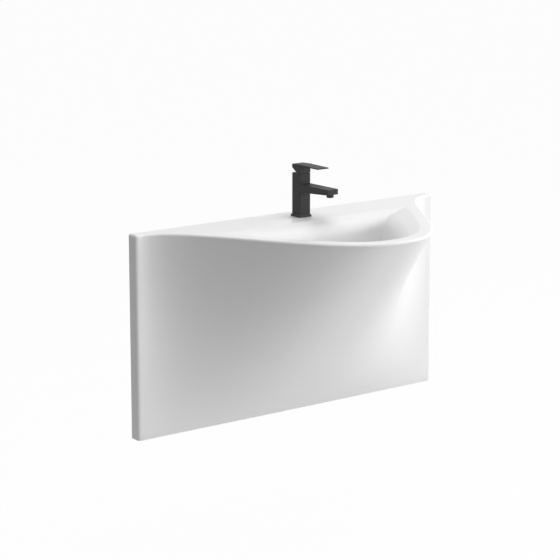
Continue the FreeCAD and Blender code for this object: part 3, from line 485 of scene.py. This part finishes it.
frontColumns = set(range(frontCount + 1))
skirtColumns = {index for index, (x, y, nx, ny) in enumerate(outer) if ny < 0.5}


# a ring pushed on by distance, away from the ring before it
def pushedOn(ring, other, distance):
    made = []
    for (x, y), (fromX, fromY) in zip(ring, other):
        length = math.hypot(x - fromX, y - fromY) or 1.0
        made.append((x + (x - fromX) / length * distance, y + (y - fromY) / length * distance))
    return made


# drain hole, recess, floor and walls, then the soft crease over to the flat top
def buildBowl(shell):
    form, bowl = basinForm, bowlForm
    top, floorTop = form["top"], form["top"] - bowl["depth"]
    recess = floorTop - bowl["recessDepth"]
    chamfer = bowl["recessChamfer"]
    hole, seat = drainRing(bowl["drainHole"]), drainRing(bowl["drainRecess"])
    seatEdge = drainRing(bowl["drainRecess"] + chamfer)
    shell.start(atHeight(hole, floorTop - bowl["wall"]))
    shell.pull(atHeight(hole, recess))
    shell.pull(atHeight(seat, recess))
    shell.pull(atHeight(seat, floorTop - chamfer))
    shell.pull(atHeight(seatEdge, floorTop))
    floorEdge = bowlRing(bowl["depth"])
    for share in (0.2, 0.45, 0.7, 0.9):
        shell.pull(atHeight(mixRings(seatEdge, floorEdge, share), floorTop))
    rollStart = bowl["depth"] - bowl["floorRound"]
    for angle in spread(90, 0, stepCounts["floorRoll"]):
        level = rollStart + bowl["floorRound"] * math.sin(math.radians(angle))
        shell.pull(atHeight(bowlRing(level), top - level))
    level = rollStart
    shortest, longest, part = bowl["wallSteps"]
    while level > bowl["creaseRound"] * 1.5:
        level -= max(shortest, min(longest, level * part))
        shell.pull(atHeight(bowlRing(level), top - level))
    lowRing = bowlRing(level)
    mouth = bowlRing(0.0)
    outward = pushedOn(mouth, lowRing, bowl["creaseRound"])
    for share in spread(0, 1, stepCounts["crease"])[1:]:
        a, b, c = (1 - share) ** 2, 2 * share * (1 - share), share ** 2
        ring = [Vector((a * lx + b * mx + c * ox, a * ly + b * my + c * oy, top - a * level))
                for (lx, ly), (mx, my), (ox, oy) in zip(lowRing, mouth, outward)]
        shell.pull(ring)
    support = pushedOn(outward, mouth, form["support"])
    shell.pull(atHeight(support, top))
    return support


# the rim's rounding, then the apron down to its foot and up again inside
def buildApron(shell, mouthRing):
    form = basinForm
    top = form["top"]

    def edgeRadius(ny):
        return form["rimRound"] if ny < 0.5 else form["backRound"]

    flat = [(x - nx * edgeRadius(ny), y - ny * edgeRadius(ny)) for x, y, nx, ny in outer]
    inner = [(x - nx * form["support"], y - ny * form["support"])
             for (x, y), (ox, oy, nx, ny) in zip(flat, outer)]
    shell.keepColumns(frontColumns)
    for share in (0.25, 0.5, 0.75, 1.0):
        shell.pull(atHeight(mixRings(mouthRing, inner, share), top))
    shell.start(atHeight(inner, top))
    shell.pull(atHeight(flat, top))
    tilts = []
    for x, y, nx, ny in outer:
        lean = form["reach"] * bellShare(x) / (form["top"] - form["bottom"])
        tilts.append(math.atan(lean * abs(ny)) if ny < -0.001 else 0.0)
    for share in spread(0, 1, stepCounts["rimRoll"])[1:]:
        ring = []
        for (x, y, nx, ny), tilt in zip(outer, tilts):
            small = edgeRadius(ny)
            angle = math.pi / 2 + (-tilt - math.pi / 2) * share
            out = small * (math.cos(angle) - 1)
            ring.append(Vector((x + nx * out, y + ny * out, top - small + small * math.sin(angle))))
        shell.pull(ring)
    shell.keepColumns(skirtColumns)
    foot = form["bottom"] + form["footRound"]
    for z in spread(form["deckUnder"], foot, stepCounts["skirt"]):
        shell.pull([outsidePlace(place, z) for place in ring])
    low = [outsidePlace(place, foot) for place in ring]
    inLow = [insidePlace(place, foot) for place in ring]
    for angle in spread(0, math.pi / 2, stepCounts["foot"])[1:]:
        shell.pull([footPlace(first, second, angle) for first, second in zip(low, inLow)])
    for angle in spread(math.pi / 2, 0, stepCounts["foot"]):
        shell.pull([footPlace(second, first, angle) for first, second in zip(low, inLow)])
    for z in spread(foot, form["deckUnder"], stepCounts["skirt"])[1:]:
        shell.pull([insidePlace(place, z) for place in ring])
    return ring


# the bowl's outside, from the drain hole up to the ledge's underside
def buildUnderside(shell, rimRing):
    form, bowl = basinForm, bowlForm
    top, wall = form["top"], bowl["wall"]
    floorUnder = top - bowl["depth"] - wall
    shell.start(atHeight(drainRing(bowl["drainHole"]), floorUnder))
    outerFloor = bowlRing(bowl["depth"], wall)
    for share in (0.3, 0.65, 1.0):
        shell.pull(atHeight(mixRings(drainRing(bowl["drainHole"]), outerFloor, share), floorUnder))
    rollStart = bowl["depth"] - bowl["floorRound"]
    for angle in spread(90, 0, stepCounts["underRoll"])[1:]:
        level = rollStart + bowl["floorRound"] * math.sin(math.radians(angle))
        shell.pull(atHeight(bowlRing(level, wall), top - level - wall))
    shallow = top - form["deckUnder"] - wall
    for level in spread(rollStart, shallow, stepCounts["underWall"])[1:]:
        shell.pull(atHeight(bowlRing(level, wall), top - level - wall))
    edge = []
    for (x, y, nx, ny), place in zip(outer, rimRing):
        inside = insidePlace(place, form["deckUnder"])
        wallPlace = (max(-insideHalf, min(insideHalf, x)), 0.0)
        edge.append(wallPlace if ny > 0.5 else (inside.x, inside.y))
    shell.keepColumns(frontColumns)
    for share in (0.5, 1.0):
        shell.pull(atHeight(mixRings(bowlRing(shallow, wall), edge, share), form["deckUnder"]))
    shell.start(atHeight(edge, form["deckUnder"]))


def circleRing(x, y, radius, count):
    return [(x + radius * math.cos(2 * math.pi * step / count),
             y + radius * math.sin(2 * math.pi * step / count)) for step in range(count)]


# the tap's hole through the ledge, and a blind hole for each bracket's insert
def buildHoles(shell):
    form = basinForm
    tap = circleRing(*form["tapHole"], holeCounts["tap"])
    shell.start(atHeight(tap, form["top"]))
    shell.pull(atHeight(tap, form["deckUnder"]))
    x, y, radius = form["insertHoles"]
    for side in (-1, 1):
        hole = circleRing(side * x, y, radius, holeCounts["insert"])
        shell.start(atHeight(hole, form["deckUnder"]))
        shell.pull(atHeight(hole, form["deckUnder"] + form["insertDepth"]))
        bmesh.ops.holes_fill(shell.mesh, edges=shell.edges, sides=0)


# a finished piece, shaded smooth up to sharpAngle degrees
def addPiece(name, mesh, slot, body, replaced, sharpAngle=30):
    data = bpy.data.meshes.new(name)
    mesh.to_mesh(data)
    mesh.free()
    data.materials.append(finishes[slot])
    for polygon in data.polygons:
        polygon.use_smooth = True
    data.set_sharp_from_angle(angle=math.radians(sharpAngle))
    piece = bpy.data.objects.new(name, data)
    bpy.context.scene.collection.objects.link(piece)
    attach(piece, body)
    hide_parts(*replaced)
    print(name, "faces", len(data.polygons))


# lists edges and faces by their vertices, so that every run writes the same mesh
def settleOrder(mesh):
    mesh.verts.index_update()
    count = len(mesh.verts)

    def number(item):
        places = sorted(vertex.index for vertex in item.verts)
        return (places[0] * count + places[1]) * count + places[-1]

    mesh.edges.sort(key=number)
    mesh.faces.sort(key=number)


def makeShell():
    shell = RingShell()
    mouthRing = buildBowl(shell)
    rimRing = buildApron(shell, mouthRing)
    buildUnderside(shell, rimRing)
    buildHoles(shell)
    mesh = shell.mesh
    bmesh.ops.remove_doubles(mesh, verts=mesh.verts, dist=mergeDistance)
    filled = [shell.fillPlane(2, basinForm["top"]), shell.fillPlane(2, basinForm["deckUnder"]),
              shell.fillPlane(1, 0.0)]
    bmesh.ops.recalc_face_normals(mesh, faces=mesh.faces)
    openEdges = sum(1 for edge in mesh.edges if not edge.is_manifold)
    print("shell: faces filled", filled, "open edges", openEdges)
    settleOrder(mesh)
    addPiece("basinShell", mesh, "shell_stone", "basin", ["basin_shell"])


makeShell()


# stage, lamps and camera
stageForm = {"floor": -0.82, "size": 60.0, "floorShade": 0.76, "cameraWhite": 0.975}
worldForm = {"light": 0.19}
lampForms = {
    "keyLamp": {"place": (3.0, -5.2, 0.7), "target": (0.0, -0.2, -0.1), "size": 2.8, "power": 118},
    "sideLamp": {"place": (3.8, -0.9, 1.2), "target": (0.0, -0.2, -0.1), "size": 2.4, "power": 78},
    "topLamp": {"place": (0.0, -0.8, 3.4), "target": (0.0, -0.2, -0.1), "size": 2.8, "power": 84},
}
cameraForm = {"place": (-3.2631, -4.3345, 1.1079), "pitch": -12.579, "yaw": 36.833,
              "lens": 131.4, "sensor": 36, "farthest": 200}


def makeFloor():
    form = stageForm
    mesh = bmesh.new()
    bmesh.ops.create_grid(mesh, x_segments=1, y_segments=1, size=form["size"],
                          matrix=Matrix.Translation((0, 0, form["floor"])))
    data = bpy.data.meshes.new("paleFloor")
    mesh.to_mesh(data)
    mesh.free()
    floor = bpy.data.objects.new("paleFloor", data)
    bpy.context.scene.collection.objects.link(floor)
    finish = newFinish("paleFloor")
    shade = form["floorShade"]
    lit = finish.node("BsdfDiffuse", {"Color": (shade, shade, shade, 1)})
    white = finish.node("Emission", {"Color": (1, 1, 1, 1), "Strength": 1.0})
    path = finish.node("LightPath", output="Is Camera Ray")
    glossy = finish.node("LightPath", output="Is Glossy Ray")
    surface = finish.node("MixShader", {0: (path + glossy) * form["cameraWhite"], 1: lit, 2: white})
    data.materials.append(finish.close(surface))


def makeWorld():
    world = bpy.data.worlds.new("studioWorld")
    studio = Finish(world, "OutputWorld")
    camera = studio.node("LightPath", output="Is Camera Ray")
    glossy = studio.node("LightPath", output="Is Glossy Ray")
    through = studio.node("LightPath", output="Is Transmission Ray")
    seen = camera + glossy + through
    strength = seen * (1 - worldForm["light"]) + worldForm["light"]
    studio.close(studio.node("Background", {"Color": (1, 1, 1, 1), "Strength": strength}))
    bpy.context.scene.world = world


def makeLamp(name, form):
    lamp = bpy.data.lights.new(name, "AREA")
    lamp.shape = "SQUARE"
    lamp.size = form["size"]
    lamp.energy = form["power"]
    holder = bpy.data.objects.new(name, lamp)
    holder.location = form["place"]
    aim = Vector(form["target"]) - Vector(form["place"])
    holder.rotation_euler = aim.to_track_quat("-Z", "Y").to_euler()
    bpy.context.scene.collection.objects.link(holder)


def makeCamera():
    form = cameraForm
    camera = bpy.data.cameras.new("photoCamera")
    camera.lens = form["lens"]
    camera.sensor_width = form["sensor"]
    camera.clip_end = form["farthest"]
    holder = bpy.data.objects.new("photoCamera", camera)
    holder.location = form["place"]
    holder.rotation_euler = (math.radians(90 + form["pitch"]), 0, math.radians(-form["yaw"]))
    bpy.context.scene.collection.objects.link(holder)
    bpy.context.scene.camera = holder


makeFloor()
makeWorld()
for lampName, lampForm in lampForms.items():
    makeLamp(lampName, lampForm)
makeCamera()
bpy.context.scene.view_settings.view_transform = "Standard"
print("stage, lamps and camera set")
